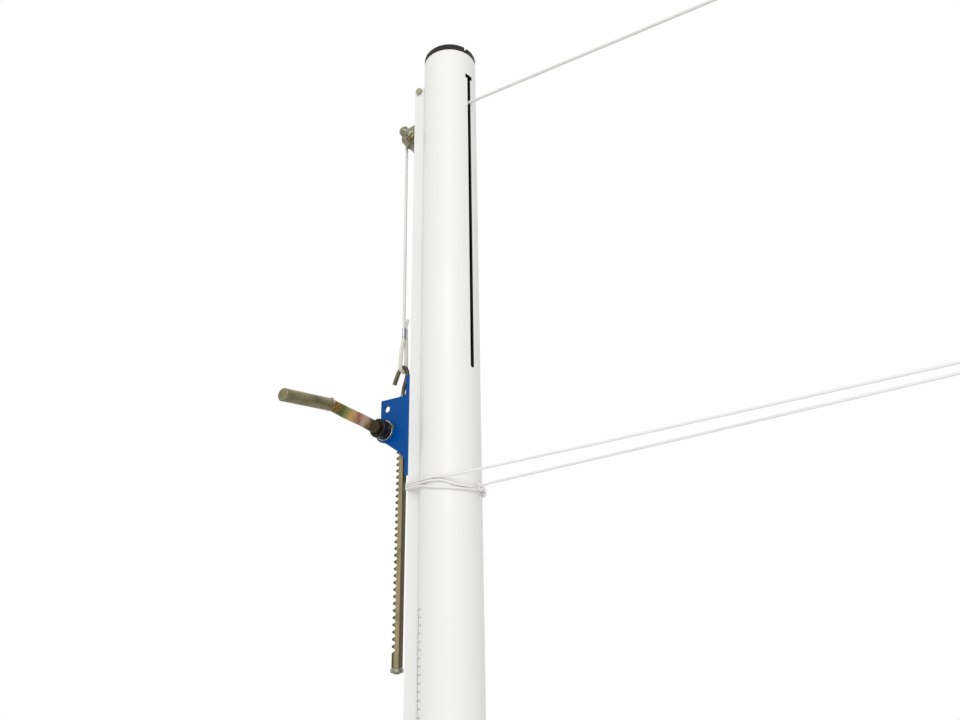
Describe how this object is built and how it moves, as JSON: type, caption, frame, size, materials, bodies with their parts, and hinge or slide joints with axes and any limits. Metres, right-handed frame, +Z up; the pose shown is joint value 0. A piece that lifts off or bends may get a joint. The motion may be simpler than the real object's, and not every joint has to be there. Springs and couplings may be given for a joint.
{
  "type": "volleyball post with rack tensioner",
  "caption": "Round steel volleyball post with a slotted head, a rail-mounted pulley carriage, a rack-and-pinion cable tensioner with crank, and a tied lower cord.",
  "frame": {"origin": "centre of the flat underside of the post's foot, on the tube's axis", "axes": "+Z up along the post, +X towards the net, the rail on -X and the crank towards -Y"},
  "size_m": [0.8894, 0.2038, 2.9033],
  "materials": {
    "white_powder_coat": "white powder coat on steel",
    "blue_powder_coat": "blue powder coat on sheet steel",
    "yellow_zinc": "yellow-passivated zinc on steel",
    "bright_zinc": "bright zinc on steel",
    "black_plastic": "moulded black plastic",
    "black_oxide_steel": "blackened steel",
    "machined_steel": "machined steel",
    "spring_steel": "spring steel",
    "brake_lining": "woven brake lining",
    "bronze": "sintered bronze",
    "acetal": "natural acetal",
    "white_coated_cable": "white sheathed wire rope",
    "white_braided_cord": "white braided cord",
    "pressed_aluminium": "pressed aluminium ferrule"
  },
  "bodies": {
    "post": {"post_tube": "white_powder_coat", "foot_plug": "black_plastic", "top_cap": "black_plastic", "rail": "white_powder_coat", "rail_end_bolt": "yellow_zinc", "rail_end_nut": "yellow_zinc", "lower_cord": "white_braided_cord", "lower_cord_turns": "white_braided_cord", "cord_knot": "white_braided_cord", "cord_tail": "white_braided_cord"},
    "carriage": {"pulley_bracket": "yellow_zinc", "pulley_spacer_near": "bright_zinc", "pulley_spacer_far": "bright_zinc", "pulley_axle_bolt": "yellow_zinc", "pulley_washer": "yellow_zinc", "pulley_nut": "yellow_zinc", "pulley_lock_nut": "bright_zinc", "carriage_slide_nut": "machined_steel", "carriage_clamp_screw": "yellow_zinc", "tension_cable": "white_coated_cable", "pulley_cable": "white_coated_cable", "net_cable": "white_coated_cable", "net_ferrule": "pressed_aluminium", "net_eye": "white_coated_cable"},
    "pulley": {"pulley_wheel": "bright_zinc", "pulley_bush": "bronze"},
    "tensioner": {"tensioner_housing": "blue_powder_coat", "tensioner_slide_nut_upper": "machined_steel", "tensioner_slide_nut_lower": "machined_steel", "tensioner_clamp_screw_upper": "yellow_zinc", "tensioner_clamp_screw_lower": "yellow_zinc", "rack_guide": "acetal", "shaft_bush_near": "bronze", "shaft_bush_far": "bronze", "brake_ring": "bright_zinc", "brake_ring_pin": "bright_zinc"},
    "crank": {"pinion_shaft": "machined_steel", "shaft_collar": "bright_zinc", "collar_set_screw": "black_oxide_steel", "crank_hub": "black_oxide_steel", "brake_lining": "brake_lining", "brake_spring": "spring_steel", "crank_arm": "yellow_zinc", "crank_grip": "yellow_zinc"},
    "rack": {"rack_bar": "yellow_zinc", "rack_stop_plate": "bright_zinc", "rack_stop_screw": "bright_zinc", "rack_hook": "yellow_zinc", "hook_nut": "bright_zinc", "hook_eye": "white_coated_cable", "hook_ferrule": "pressed_aluminium", "cable_tail": "white_coated_cable"}
  },
  "joints": [
    {"name": "tensioner_height", "type": "slide", "parent": "post", "child": "tensioner", "axis": [0, 0, 1], "range_m": [-0.012, 0.04]},
    {"name": "carriage_height", "type": "slide", "parent": "post", "child": "carriage", "axis": [0, 0, 1], "range_m": [-0.012, 0.04]},
    {"name": "pulley_spin", "type": "hinge", "parent": "carriage", "child": "pulley", "pos_m": [-0.0785, 0, 2.7705], "axis": [0, 1, 0], "continuous": true},
    {"name": "crank_turn", "type": "hinge", "parent": "tensioner", "child": "crank", "pos_m": [-0.10775, 0, 2.238], "axis": [0, -1, 0], "range_deg": [0, 960]},
    {"name": "rack_travel", "type": "slide", "parent": "tensioner", "child": "rack", "axis": [0, 0, 1], "range_m": [0, 0.2514], "deforming": ["tension_cable"]}
  ],
  "couplings": [
    {"joint": "carriage_height", "follows": "tensioner_height", "ratio": 1},
    {"joint": "rack_travel", "follows": "crank_turn", "m_per_rad": 0.015}
  ]
}
